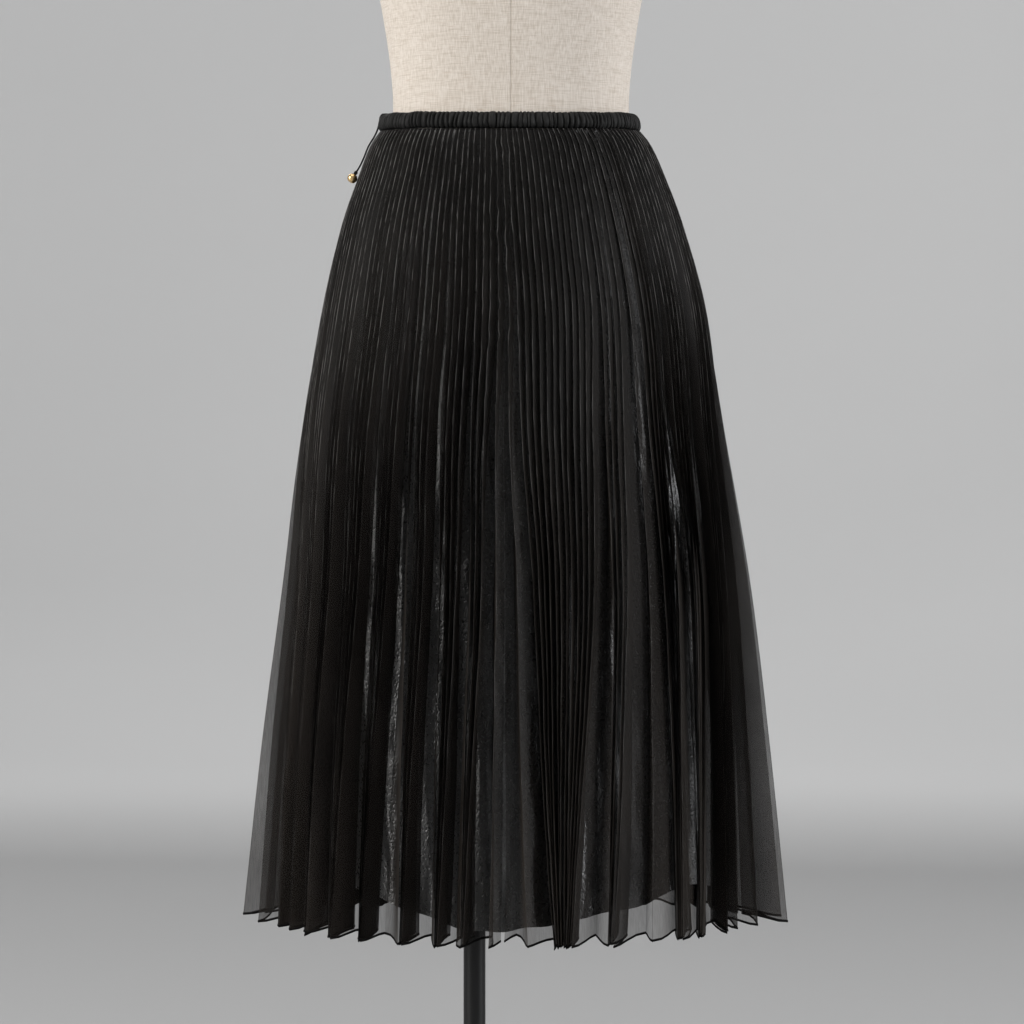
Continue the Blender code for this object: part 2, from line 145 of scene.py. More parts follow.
# The tie, its bead and the knot.
TIE_RADIUS = 0.9 * MM
TIE_POINTS = 26
TIE_TOP = 1033.0 * MM
BEAD_RADIUS = 5.0 * MM
BEAD_FLATNESS = 0.86
KNOT_RADIUS = 1.9 * MM
KNOT_LIFT = 1.2 * MM

# The form and the stand; the pole's chamfer and lower part are in mm.
TORSO_COLUMNS = 96
TORSO_ROWS = 84
TORSO_RIM = 2.5 * MM
CAP_CORNERS = 10
FORM_BOTTOM = 722.0 * MM
POLE_RADIUS = 11.0 * MM
POLE_FOOT = 22.3 * MM
POLE_CHAMFER = 0.4
POLE_LOWER_PART = 230.0

# Vertices closer than this are one, and edges sharper than this stay crisp.
JOIN_DISTANCE = 0.00001
CRISP_ANGLE = math.radians(35.0)

Reach = namedtuple("Reach", "drop left right near far")
Section = namedtuple("Section", "height half_width near far squareness")
Corner = namedtuple("Corner", "at out height")
Turn = namedtuple("Turn", "radius height")
OpenPleat = namedtuple("OpenPleat", "fold first second")
ProudFold = namedtuple("ProudFold", "fold reach")
RouteStep = namedtuple("RouteStep", "drop forward out")
HemPoint = namedtuple("HemPoint", "turn lift")
Grain = namedtuple("Grain", "across along")
Light = namedtuple("Light", "name place target wide tall power tint")

# Threads or clouds a metre, across the cloth and along it.
ORGANZA_WEAVE = Grain(900.0, 60.0)
ORGANZA_CLOUDS = Grain(26.0, 6.0)
ORGANZA_BREAKS = Grain(190.0, 26.0)
SATIN_WEAVE = Grain(520.0, 330.0)
BAND_WEAVE = Grain(420.0, 90.0)
LINEN_WARP = Grain(1100.0, 70.0)
LINEN_WEFT = Grain(60.0, 1100.0)
PLAIN_GRAIN = Grain(160.0, 40.0)

# Tones.
# Painted shade: the tone each organza face darkens to toward its valley fold, and also where the
# random clouds run dark.
ORGANZA_PAINTED_SHADE = (0.0022, 0.0018, 0.0016, 1.0)
ORGANZA_AT_HEM = (0.0530, 0.0440, 0.0375, 1.0)
ORGANZA_AT_WAIST = (0.0215, 0.0198, 0.0182, 1.0)
# Painted highlight: the tone of the glints on the ridge folds.
ORGANZA_GLINT = (0.170, 0.164, 0.158, 1.0)
SATIN_TONES = ((0.0060, 0.0060, 0.0061, 1.0), (0.0150, 0.0147, 0.0144, 1.0))
# The band's first tone is painted shade, between the gathers and along the lower edge.
BAND_TONES = ((0.0005, 0.0005, 0.0005, 1.0), (0.0320, 0.0315, 0.0310, 1.0))
LINEN_TONES = ((0.58, 0.505, 0.425, 1.0), (0.80, 0.735, 0.665, 1.0))
LINEN_SLUB = (0.42, 0.30, 0.20, 1.0)
LINEN_SEAM = (0.33, 0.27, 0.21, 1.0)
PAPER_TONES = ((0.40, 0.40, 0.40, 1.0), (0.58, 0.58, 0.58, 1.0))

# Light: its tints, the sky's strength and the softboxes. The walls' lights even the backdrop out.
WARM = (1.0, 0.985, 0.96)
COOL = (0.97, 0.98, 1.0)
WHITE = (1.0, 1.0, 1.0)
SKY_STRENGTH = 0.32
LIGHTS = (
    Light("key", (-5.1, -2.55, 2.6), (0.04, 0.0, 0.7), 2.1, 3.8, 285.0, WARM),
    Light("fill", (5.3, -1.45, 2.0), (0.04, 0.0, 0.7), 1.8, 3.5, 200.0, COOL),
    Light("top", (0.0, -0.6, 4.2), (0.04, 0.0, 0.8), 2.6, 2.6, 40.0, WHITE),
    Light("wall", (0.5, 4.2, 4.8), (1.6, 11.6, 3.4), 6.0, 1.6, 400.0, WHITE),
    Light("front_wall", (0.0, -4.4, 4.8), (0.0, -11.6, 3.4), 6.0, 1.6, 230.0, WHITE),
    Light("left_wall", (-4.4, 0.0, 4.8), (-11.6, 0.0, 3.4), 6.0, 1.6, 200.0, WHITE),
    Light("right_wall", (4.4, 0.0, 4.8), (11.6, 0.0, 3.4), 6.0, 1.6, 200.0, WHITE),
    Light("rear", (-2.6, 5.6, 4.6), (0.04, 0.0, 0.9), 2.1, 2.4, 55.0, WHITE),
)

# How far the pleated layer's ridges stand out from the form's axis at a drop, all in mm.
OUTER_REACH = (
    Reach(0.0, 131.5, 130.0, 93.5, 94.0),
    Reach(12.0, 140.0, 139.5, 102.0, 101.0),
    Reach(40.0, 151.0, 152.5, 113.5, 110.0),
    Reach(95.0, 170.0, 173.0, 131.0, 123.0),
    Reach(180.0, 189.5, 196.0, 150.0, 140.0),
    Reach(300.0, 208.0, 210.5, 170.0, 163.0),
    Reach(450.0, 219.0, 227.5, 190.0, 187.0),
    Reach(610.0, 232.0, 237.5, 208.0, 208.0),
    Reach(781.0, 241.5, 245.0, 228.0, 228.0),
)

# The same for the lining.
LINING_REACH = (
    Reach(0.0, 122.2, 122.2, 86.0, 87.0),
    Reach(12.0, 124.6, 124.6, 88.0, 88.6),
    Reach(40.0, 136.6, 136.6, 98.0, 94.6),
    Reach(95.0, 154.6, 154.6, 115.5, 102.0),
    Reach(180.0, 169.6, 170.5, 132.0, 110.0),
    Reach(300.0, 183.0, 184.0, 140.0, 122.0),
    Reach(500.0, 188.0, 193.0, 152.0, 140.0),
    Reach(752.0, 189.0, 203.0, 175.0, 166.0),
)

# How much the lining's hem is raised, in mm, at a turn in degrees from the shown side's middle.
LINING_HEM = (
    HemPoint(-180.0, 5.0), HemPoint(-110.0, 8.0), HemPoint(-60.0, 13.0), HemPoint(-42.0, 3.0),
    HemPoint(-30.0, -8.0), HemPoint(-20.0, -21.0), HemPoint(-10.0, -24.0), HemPoint(3.0, -21.0),
    HemPoint(25.0, -12.0), HemPoint(38.0, 1.0), HemPoint(53.0, 9.0), HemPoint(90.0, 9.0),
    HemPoint(180.0, 5.0),
)

# The form's sections at a height, in mm; a squareness of 2 is an oval.
FORM_SECTIONS = (
    Section(722.0, 156.0, 114.0, 97.0, 2.0),
    Section(760.0, 163.0, 122.0, 101.0, 2.0),
    Section(830.0, 166.0, 127.0, 104.0, 2.0),
    Section(880.0, 162.0, 122.0, 102.5, 2.0),
    Section(930.0, 151.0, 112.0, 98.5, 2.0),
    Section(980.0, 134.5, 96.0, 92.0, 2.0),
    Section(1006.0, 124.0, 87.0, 87.5, 2.0),
    Section(1024.0, 120.5, 84.2, 85.2, 2.0),
    Section(1040.0, 118.4, 82.8, 83.8, 2.0),
    Section(1060.0, 118.0, 82.5, 83.5, 2.0),
    Section(1100.0, 121.5, 86.0, 88.0, 2.0),
    Section(1154.0, 130.0, 91.0, 98.0, 2.05),
    Section(1205.0, 140.0, 95.0, 110.0, 2.1),
    Section(1245.0, 147.0, 98.0, 117.5, 2.15),
    Section(1290.0, 152.0, 99.5, 113.5, 2.2),
    Section(1338.0, 158.0, 97.0, 99.0, 2.25),
    Section(1378.0, 164.0, 89.0, 84.0, 2.3),
    Section(1402.0, 158.0, 79.0, 72.0, 2.25),
    Section(1420.0, 138.0, 70.0, 61.0, 2.15),
    Section(1434.0, 107.0, 62.5, 54.0, 2.05),
    Section(1446.0, 74.0, 57.0, 48.0, 2.0),
    Section(1464.0, 58.0, 53.0, 45.0, 2.0),
    Section(1500.0, 54.0, 50.0, 43.0, 2.0),
)

# Pleats that stand open at the hem: the gap of each of the two faces beside a fold, in mm.
OPEN_PLEATS = (
    OpenPleat(-70, 26.0, 26.0), OpenPleat(-68, 24.0, 17.0), OpenPleat(-58, 18.0, 10.0),
    OpenPleat(-50, 20.0, 8.0), OpenPleat(-42, 20.0, 14.0), OpenPleat(-32, 26.0, 10.0),
    OpenPleat(-24, 16.0, 26.0), OpenPleat(-16, 19.0, 14.0), OpenPleat(-8, 13.0, 10.0),
    OpenPleat(-2, 18.0, 7.0), OpenPleat(0, 21.0, 16.0), OpenPleat(2, 16.0, 10.0),
    OpenPleat(26, 19.0, 17.0), OpenPleat(34, 24.0, 20.0), OpenPleat(36, 22.0, 8.0),
    OpenPleat(46, 15.0, 8.0), OpenPleat(58, 26.0, 14.0), OpenPleat(64, 12.0, 8.0),
    OpenPleat(66, 20.0, 12.0), OpenPleat(68, 22.0, 24.0),
)

# Folds at the sides that stand out further than the others at the hem, in mm.
PROUD_FOLDS = (
    ProudFold(67, 3.0), ProudFold(68, 10.0), ProudFold(69, 7.0), ProudFold(70, 32.0),
    ProudFold(71, 16.0), ProudFold(72, 29.0), ProudFold(73, 7.0), ProudFold(74, 8.0),
    ProudFold(206, 8.0), ProudFold(207, 5.0), ProudFold(208, 24.0), ProudFold(209, 12.0),
    ProudFold(210, 30.0), ProudFold(211, 10.0), ProudFold(212, 12.0), ProudFold(213, 3.0),
)

# The casing's section outside the form, from its top edge round to its lower edge, in mm.
BAND_SECTION = (
    Corner(0, 0.2, 15.2), Corner(1, 3.0, 16.2), Corner(2, 6.8, 15.6), Corner(3, 9.4, 12.2),
    Corner(4, 10.2, 8.2), Corner(5, 9.9, 4.4), Corner(6, 7.4, 0.7), Corner(7, 3.6, 0.1),
    Corner(8, 0.2, 0.8),
)

# The tie's way down from the casing: forward and out from the form's axis at a drop, in mm.
TIE_ROUTE = (
    RouteStep(0.0, 8.0, 132.25), RouteStep(4.0, 8.1, 133.5), RouteStep(10.0, 8.5, 136.2),
    RouteStep(20.0, 9.5, 142.1), RouteStep(32.0, 11.0, 146.9), RouteStep(40.0, 12.2, 150.6),
    RouteStep(48.0, 13.5, 155.4),
)

# The base's profile, in mm.
BASE_PROFILE = (
    Turn(0.0, 22.0), Turn(19.0, 22.0), Turn(22.0, 20.5), Turn(60.0, 14.0), Turn(120.0, 9.5),
    Turn(158.0, 7.5), Turn(163.5, 6.0), Turn(165.0, 4.0), Turn(164.0, 0.8), Turn(162.5, 0.0),
    Turn(0.0, 0.0),
)

# The studio's floor and backdrop, one surface of revolution: radius and height in metres.
STUDIO_PROFILE = (
    Turn(0.0, 0.0), Turn(6.6, 0.0), Turn(7.2, 0.02), Turn(7.8, 0.09), Turn(8.4, 0.22),
    Turn(9.0, 0.42), Turn(9.6, 0.71), Turn(10.2, 1.12), Turn(10.7, 1.62), Turn(11.1, 2.22),
    Turn(11.4, 2.95), Turn(11.6, 3.8), Turn(11.7, 5.2), Turn(11.75, 8.5),
)


# Shared curves

def curve_through(rows, at, column):
    """Value of a table's column at a place in its first column, on a smooth curve."""
    places = [row[0] for row in rows]
    values = [getattr(row, column) for row in rows]
    if at <= places[0]:
        return values[0]
    if at >= places[-1]:
        return values[-1]
    k = max(i for i in range(len(places) - 1) if places[i] <= at)
    span = places[k + 1] - places[k]
    share = (at - places[k]) / span

    def slope(i):
        before, after = max(i - 1, 0), min(i + 1, len(places) - 1)
        return (values[after] - values[before]) / (places[after] - places[before])

    square, cube = share * share, share ** 3
    start = (2 * cube - 3 * square + 1) * values[k] + (cube - 2 * square + share) * span * slope(k)
    end = (3 * square - 2 * cube) * values[k + 1] + (cube - square) * span * slope(k + 1)
    return start + end


def eased(share):
    """0 to 1 with a soft start and end."""
    share = min(1.0, max(0.0, share))
    return share * share * (3 - 2 * share)


def waver(a, b, c=0.0):
    """Smooth unevenness between about -1 and 1."""
    return noise.noise(Vector((a, b, c))) * 1.6


def waist_rise(angle):
    """How much higher the waistband's line lies at this angle round the form."""
    return WAIST_SIDE_RISE * math.sin(angle) ** 2


class Ring:
    """The oval that the cloth follows at one drop, measured along its own length."""

    STEPS = 720

    def __init__(self, rows, drop):
        left, right, near, far = (
            curve_through(rows, drop, side) * MM for side in ("left", "right", "near", "far")
        )
        self.centre = Vector((FORM_AXIS_X + (right - left) / 2, (far - near) / 2, 0.0))
        self.wide, self.deep = (left + right) / 2, (near + far) / 2
        self.lengths = [0.0]
        last = self.at_angle(0.0)
        for k in range(1, self.STEPS + 1):
            point = self.at_angle(math.tau * k / self.STEPS)
            self.lengths.append(self.lengths[-1] + (point - last).length)
            last = point
        self.length = self.lengths[-1]

    def at_angle(self, angle):
        """The oval's point at an angle from the middle of the shown side."""
        return self.centre + Vector((self.wide * math.sin(angle), -self.deep * math.cos(angle), 0.0))

    def angle_at(self, length):
        """The angle at a length along the oval, for any number of turns."""
        turns, rest = divmod(length, self.length)
        low, high = 0, self.STEPS
        while high - low > 1:
            middle = (low + high) // 2
            if self.lengths[middle] <= rest:
                low = middle
            else:
                high = middle
        share = (rest - self.lengths[low]) / (self.lengths[high] - self.lengths[low])
        return math.tau * (turns + (low + share) / self.STEPS)

    def outward(self, angle):
        """The way that the oval faces at an angle."""
        return Vector((math.sin(angle) / self.wide, -math.cos(angle) / self.deep, 0.0)).normalized()


# Pleated layer

def hem_gaps():
    """Gap of every face at the hem, in mm, with each quarter of the skirt kept to its own arc."""
    gaps = [0.0] * FOLDS
    for row in OPEN_PLEATS:
        far = PLEATS - 2 - row.fold
        for face, gap in (
            (row.fold, row.first), (row.fold + 1, row.second),
            (far, row.second), (far + 1, row.first),
        ):
            gaps[face % FOLDS] = gap
    quarter_arc = Ring(OUTER_REACH, OUTER_DROP / MM).length / MM / QUARTERS
    per_quarter = FOLDS // QUARTERS
    for quarter in range(QUARTERS):
        faces = range(quarter * per_quarter, (quarter + 1) * per_quarter)
        closed = [face for face in faces if gaps[face] == 0.0]
        open_length = sum(gaps[face] for face in faces)
        for face in closed:
            gaps[face] = (quarter_arc - open_length) / len(closed)
    return gaps


HEM_GAPS = hem_gaps()
PROUD = {row.fold: row.reach for row in PROUD_FOLDS}


def lean_angle(fold, share):
    """How far a pleat leans over sideways. Towards the sides it points straight at the form."""
    start, end = LEAN_CHANGE
    change = eased((share - start) / (end - start))
    from_side = min(abs(fold - side) for side in (-SIDE_FOLD, SIDE_FOLD, FOLDS - SIDE_FOLD))
    fade = 1.0 - change * (1.0 - eased(from_side / UPRIGHT_FOLDS))
    turn = ((fold / PLEATS + 0.5) % 1.0 - 0.5) * 180.0
    low = LEAN_AT_HEM + LEAN_UNEVEN * waver(fold * 0.13, share * 1.2, 4.0)
    if 0 <= fold < PLEATS:
        low += LEAN_WITH_TURN * math.radians(turn)
    start, end = LEAN_TURNS_BACK
    high = LEAN_AT_WAIST * (1.0 - 2.0 * eased((turn - start) / (end - start)))
    high *= eased((90.0 - abs(turn)) / SIDE_FADE)
    return (high + (low - high) * change) * fade


def face_gaps(share, length):
    """How far each face reaches round the skirt at a share of the drop."""
    even = sum(HEM_GAPS) / FOLDS
    per_quarter = FOLDS // QUARTERS
    gaps = []
    for face, gap in enumerate(HEM_GAPS):
        from_side = abs(face % PLEATS + 0.5 - SIDE_FOLD)
        at_middle = eased((from_side - BUNCH_SIDE_FACES) / BUNCH_CHANGE_FACES)
        power = BUNCH_POWER_AT_SIDES + (BUNCH_POWER - BUNCH_POWER_AT_SIDES) * at_middle
        bunch = share ** power
        gaps.append((1.0 - bunch) * even + bunch * gap)
    for first in range(0, FOLDS, per_quarter):
        total = sum(gaps[first:first + per_quarter])
        for face in range(first, first + per_quarter):
            gaps[face] *= length / QUARTERS / total
    return gaps


def fold_lines(drop):
    """The place of each fold of the pleated layer, at a drop in mm below the waistband."""
    share = drop * MM / OUTER_DROP
    ring = Ring(OUTER_REACH, drop)
    width = FACE_AT_WAIST + (FACE_AT_HEM - FACE_AT_WAIST) * share
    gaps = face_gaps(share, ring.length)
    proud_share = max(0.0, (share - PROUD_START) / (1 - PROUD_START))
    length = SEAM_OFFSET - gaps[0] / 2
    lines = []
    for fold in range(FOLDS):
        gap = (gaps[fold - 1] + gaps[fold]) / 2
        depth = math.sqrt(max(width ** 2 - gap ** 2, (SHALLOWEST * width) ** 2))
        inward = (VALLEY_DEPTH if fold % 2 else RIDGE_DEPTH) * depth
        lean = lean_angle(fold, share)
        sway = HEM_SWAY * share * waver(fold * 0.31, share * 3.0, 1.0)
        sway += FINE_SWAY * waver(fold * 0.9, drop * 0.02, 2.0) * eased(drop / 60.0)
        sway += WAIST_SWAY * waver(fold * 0.4, 6.0, drop * 0.03) * (1.0 - eased(drop / 90.0))
        sway += pucker(fold, drop)
        angle = ring.angle_at(length + inward * math.sin(lean) + sway)
        inward = inward * math.cos(lean) - PROUD.get(fold, 0.0) * MM * proud_share
        inward += PUCKER_DEPTH * abs(pucker(fold, drop))
        place = ring.at_angle(angle) - ring.outward(angle) * inward
        dip = HEM_DIP * share ** 2 * math.cos(angle) ** 2
        lift = VALLEY_LIFT * share ** 2 * (fold % 2)
        lift += HEM_WAVER * share ** 3 * waver(fold * 0.43, 3.0, 5.0)
        place.z = CLOTH_TOP - drop * MM + waist_rise(angle) * (1 - share) - dip + lift
        lines.append(place)
        length += gaps[fold]
    return lines


def pucker(fold, drop):
    """The seam pulls the pleats beside it into short waves, in the upper part of the skirt."""
    from_seam = min(abs(fold - 0.5 - seam) for seam in (0, PLEATS, FOLDS))
    near = math.exp(-((from_seam / PUCKER_FOLDS) ** 2))
    start, length = PUCKER_FADE
    fading = 1.0 - eased((drop - start) / length)
    return PUCKER_SIZE * near * fading * waver(fold * 0.35, drop * 0.1, 7.0) * eased(drop / 15.0)


def grid_of(columns, rows):
    """A grid of faces in a new bmesh, with the column and row of each of its vertices."""
    builder = bmesh.new()
    bmesh.ops.create_grid(builder, x_segments=columns, y_segments=rows, size=1.0)
    spots = {
        vertex: (
            round((vertex.co.x + 1.0) / 2.0 * columns), round((vertex.co.y + 1.0) / 2.0 * rows),
        )
        for vertex in builder.verts
    }
    return builder, spots


def joined(builder):
    """Merges the vertices that lie on each other."""
    bmesh.ops.remove_doubles(builder, verts=builder.verts[:], dist=JOIN_DISTANCE)


def capped(builder, sides):
    """Closes a tube's open ends with faces of this many sides, and returns those faces."""
    joined(builder)
    rims = [edge for edge in builder.edges if edge.is_boundary]
    caps = bmesh.ops.holes_fill(builder, edges=rims, sides=sides)["faces"]
    bmesh.ops.recalc_face_normals(builder, faces=builder.faces[:])
    return caps


def smoothed(builder):
    """Shades every face smooth."""
    for face in builder.faces:
        face.smooth = True


def made_of(name, builder, finish):
    """A new object from a bmesh."""
    mesh = bpy.data.meshes.new(name)
    builder.to_mesh(mesh)
    builder.free()
    mesh.materials.append(finish)
    made = bpy.data.objects.new(name, mesh)
    bpy.context.scene.collection.objects.link(made)
    return made


def piece(name, builder, finish):
    """A new object from a bmesh, riding on the part's one body."""
    made = made_of(name, builder, finish)
    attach(made, "root")
    return made


def cloth_grid(name, columns, rows, place, finish, uv_place, last_step=None):
    """A sheet of cloth laid out by place(column, row), the lowest row first, facing outwards."""
    builder, spots = grid_of(columns - 1, rows - 1)
    uv = builder.loops.layers.uv.new("cloth")
    for vertex, spot in spots.items():
        vertex.co = place(*spot)
    for face in builder.faces:
        for loop in face.loops:
            loop[uv].uv = uv_place(*spots[loop.vert])
    smoothed(builder)
    if last_step:
        last_step(builder)
    return piece(name, builder, finish)


def drop_of_row(row, rows, drop):
    """How far down a row of a sheet lies; row 0 is the hem."""
    return drop * (1.0 - row / (rows - 1))


OUTER_LINES = [
    fold_lines(drop_of_row(row, OUTER_ROWS, OUTER_DROP / MM)) for row in range(OUTER_ROWS)
]


def organza_point(position, row):
    """A point of the pleated layer; position counts faces from the sewn seam's left fold."""
    lines = OUTER_LINES[row]
    before = math.floor(position)
    share = position - before
    start, end = lines[before % FOLDS], lines[(before + 1) % FOLDS]
    point = start.lerp(end, share)
    if 0.0 < share < 1.0:
        across = end - start
        side = Vector((across.y, -across.x, 0.0))
        drop = 1.0 - row / (OUTER_ROWS - 1)
        point.z = start.z + (end.z - start.z) * eased(share)
        size = FACE_BOW_AT_WAIST + FACE_BOW_TO_HEM * drop ** 3
        bow = size * waver(before * 0.61, drop * 1.7, 9.0) * 4 * share * (1 - share)
        turned_edge = math.sin(math.tau * share) * waver(before * 0.47, drop * 1.3, 12.0)
        point += side * (bow + FACE_TWIST * drop ** 2 * turned_edge)
    return point


def organza_panel(name, first_face, finish, roll_finish):
    """Half of the pleated layer with its rolled hem."""
    ends = [first_face + 0.5 + k / FACE_STEPS for k in range(FACE_STEPS * PLEATS + 1)]
    ends[0] += SEAM_SHARE
    ends[-1] -= SEAM_SHARE

    def place(column, row):
        return organza_point(ends[column], row)

    def uv_place(column, row):
        return ends[column], drop_of_row(row, OUTER_ROWS, OUTER_DROP)

    panel = cloth_grid(name, len(ends), OUTER_ROWS, place, finish, uv_place, creased)
    hem = [place(column, 0) for column in range(len(ends))]
    return panel, hem_roll(name + "_hem", hem, roll_finish)


def creased(builder):
    """Marks the pleats' folds as sharp: the edges down the cloth at a whole number of faces."""
    uv = builder.loops.layers.uv["cloth"]
    for edge in builder.edges:
        loop = edge.link_loops[0]
        first, second = loop[uv].uv.x, loop.link_loop_next[uv].uv.x
        on_fold = abs(first - round(first)) < 0.01
        edge.smooth = not (on_fold and abs(first - second) < 0.001)


def hem_roll(name, points, finish):
    """A narrow rolled edge that follows the hem."""
    last = len(points) - 1
    builder, spots = grid_of(last, HEM_ROLL_SIDES)
    for vertex, (column, side) in spots.items():
        run = points[min(column + 1, last)] - points[max(column - 1, 0)]
        across = Vector((run.y, -run.x, 0.0)).normalized()
        turn = math.tau * (side % HEM_ROLL_SIDES) / HEM_ROLL_SIDES
        offset = across * math.cos(turn) * HEM_ROLL_FLATNESS * HEM_ROLL
        offset.z = math.sin(turn) * HEM_ROLL
        vertex.co = points[column] + offset
    capped(builder, HEM_ROLL_SIDES)
    smoothed(builder)
    return piece(name, builder, finish)


# Lining

def crinkles(share, angle):
    """The lining's soft waves, gathers and fine crinkles: how far they stand out at one place."""
    x, y = math.sin(angle), math.cos(angle)
    soft = waver(x * 4.5, share * 1.6, y * 4.5) * SOFT_WAVES * eased(share / 0.5)
    gathers = (LINING_GATHERS + LINING_GATHERS_VARY * waver(x * 3, share * 0.8, y * 3)) * angle
    fold = math.sin(gathers + 2.6 * waver(x * 6, share * 2.0, 3 + y * 6))
    fold *= 0.55 + 0.6 * waver(x * 8, share * 2.6, 8 + y * 8)
    fading = 1.0 - 0.8 * eased((share - 0.4) / 0.35)
    crinkle = GATHER_SIZE * fold * eased((share - 0.03) / 0.2) * fading
    crinkle += waver(x * 17, share * 9, y * 17) * CRINKLE_SIZE * eased((share - 0.12) / 0.3)
    fine = waver(x * 38, share * 16 + 3 * x, y * 38) * FINE_CRINKLE * eased((share - 0.1) / 0.3)
    return soft + crinkle + fine


def lining_panel(name, start_share, finish):
    """One of the lining's two panels, from side seam to side seam."""
    rings = [
        Ring(LINING_REACH, drop_of_row(row, LINING_ROWS, LINING_DROP / MM))
        for row in range(LINING_ROWS)
    ]
    last = LINING_COLUMNS - 1

    def place(column, row):
        ring = rings[row]
        share = 1.0 - row / (LINING_ROWS - 1)
        length = ring.length * (start_share + 0.5 * column / last)
        if column == 0:
            length += SEAM_GAP / 2
        elif column == last:
            length -= SEAM_GAP / 2
        angle = ring.angle_at(length)
        from_seam = min(1.0, column / SEAM_COLUMNS, (last - column) / SEAM_COLUMNS)
        wave = math.cos(LINING_WAVES * angle) * LINING_WAVE_DEPTH * share ** 2
        out = wave + crinkles(share, angle) * from_seam
        point = ring.at_angle(angle) + ring.outward(angle) * out
        turn = (math.degrees(angle) + 180.0) % 360.0 - 180.0
        rise = curve_through(LINING_HEM, turn, "lift") * MM * share ** 3
        rise += LINING_HEM_WAVER * share ** 8 * waver(math.sin(angle) * 6, 2.0, math.cos(angle) * 6)
        point.z = CLOTH_TOP - share * LINING_DROP + waist_rise(angle) * (1 - share) + rise
        return point

    def uv_place(column, row):
        return LINING_WIDTH * column / last, (1.0 - row / (LINING_ROWS - 1)) * LINING_DROP

    return cloth_grid(name, LINING_COLUMNS, LINING_ROWS, place, finish, uv_place)


# Form and waistband

def form_section(height):
    """The form's section at a height in mm."""
    columns = ("half_width", "near", "far", "squareness")
    return Section(height, *(curve_through(FORM_SECTIONS, height, column) for column in columns))


def oval_point(section, angle, grow=0.0):
    """A point of one of the form's sections, grown outwards by a distance."""
    power = 2.0 / section.squareness
    across, along = math.sin(angle), -math.cos(angle)
    deep, middle = (section.near + section.far) / 2, (section.far - section.near) / 2
    x = math.copysign(abs(across) ** power, across) * (section.half_width * MM + grow)
    y = middle * MM + math.copysign(abs(along) ** power, along) * (deep * MM + grow)
    return Vector((FORM_AXIS_X + x, y, section.height * MM))


def linen_torso(name, finish):
    """The form's linen cover, closed at the neck and underneath."""
    low, high = FORM_SECTIONS[0].height, FORM_SECTIONS[-1].height
    sections = [
        form_section(low + (high - low) * row / (TORSO_ROWS - 1)) for row in range(TORSO_ROWS)
    ]
    builder, spots = grid_of(TORSO_COLUMNS, TORSO_ROWS - 1)
    for vertex, (column, row) in spots.items():
        vertex.co = oval_point(sections[row], math.tau * (column % TORSO_COLUMNS) / TORSO_COLUMNS)
    caps = capped(builder, TORSO_COLUMNS)
    rims = list({edge for face in caps for edge in face.edges})
    bmesh.ops.bevel(
        builder, geom=rims, offset=TORSO_RIM, segments=3, profile=0.5, affect="EDGES", material=-1,
    )
    for face in builder.faces:
        face.smooth = len(face.verts) < CAP_CORNERS
    made = piece(name, builder, finish)
    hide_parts("form_torso")
    return made


def section_at(share):
    """Outward reach and height on the casing's section, at a share of the way round it."""
    at = share * (len(BAND_SECTION) - 1)
    return curve_through(BAND_SECTION, at, "out"), curve_through(BAND_SECTION, at, "height")


def gathered_waistband(name, finish):
    """The gathered casing, from its top edge at the form round its outside to its lower edge."""
    painted_crease_shade = {}

    def place(column, row):
        angle = math.tau * (column % BAND_COLUMNS) / BAND_COLUMNS
        share = row / (BAND_ROWS - 1)
        out, height = section_at(1.0 - share)
        x, y = math.sin(angle), math.cos(angle)
        turns = BAND_GATHERS * angle / math.tau
        turns += 0.45 * waver(x * 9, share * 0.9, y * 9)
        turns += 0.22 * waver(x * 24, share * 1.2, y * 24)
        raised = abs(math.sin(math.pi * turns))
        # Painted shade: 1 in the creases between the gathers and along the lower edge. It reaches the
        # finish through the UV map's second coordinate.
        painted_crease_shade[column, row] = max(1.0 - eased(raised * 1.1), 1.0 - eased(share * 5.0))
        ridge = raised ** 0.6 * 2.0 - 1.3
        size = 0.75 + 0.5 * waver(x * 13, share * 1.5, 5 + y * 13)
        uneven = 0.2 * waver(x * 40, share * 3, y * 40)
        depth = BAND_GATHER_DEPTH * (ridge * size * 0.55 + uneven)
        hold = min(1.0, out / BAND_HELD)
        fullness = 1.0 + (0.03 - 0.16 * x) * x ** 2
        from_tie = (angle - TIE_EXIT_TURN) / TIE_PUFF_WIDTH
        puff = math.exp(-(from_tie ** 2)) * eased((share - 0.45) / 0.4)
        grow = out * MM * fullness + TIE_PUFF * puff * hold
        level = BAND_TOP - BAND_HEIGHT + height * MM
        point = oval_point(form_section(level / MM), angle, BAND_CLEARANCE + grow + depth * hold)
        rim = BAND_RIM_RISE if share > 0.5 else BAND_FOOT_RISE
        point.z += waist_rise(angle) + rim * ridge * size * hold + TIE_PUFF_RISE * puff
        point.z += BAND_WAVER * waver(x * 5, 1.0, y * 5)
        return point

    def uv_place(column, row):
        return column / BAND_COLUMNS, 1.0 - painted_crease_shade[column, row]

    made = cloth_grid(name, BAND_COLUMNS + 1, BAND_ROWS, place, finish, uv_place, joined)
    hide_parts("waistband")
    return made


# Tie

def tie_route():
    """The tie's points from the waistband's casing down to the bead."""
    points = []
    for k in range(TIE_POINTS):
        drop = TIE_ROUTE[-1].drop * k / (TIE_POINTS - 1)
        out = curve_through(TIE_ROUTE, drop, "out") * MM
        forward = curve_through(TIE_ROUTE, drop, "forward") * MM
        points.append(Vector((FORM_AXIS_X - out, -forward, TIE_TOP - drop * MM)))
    return points


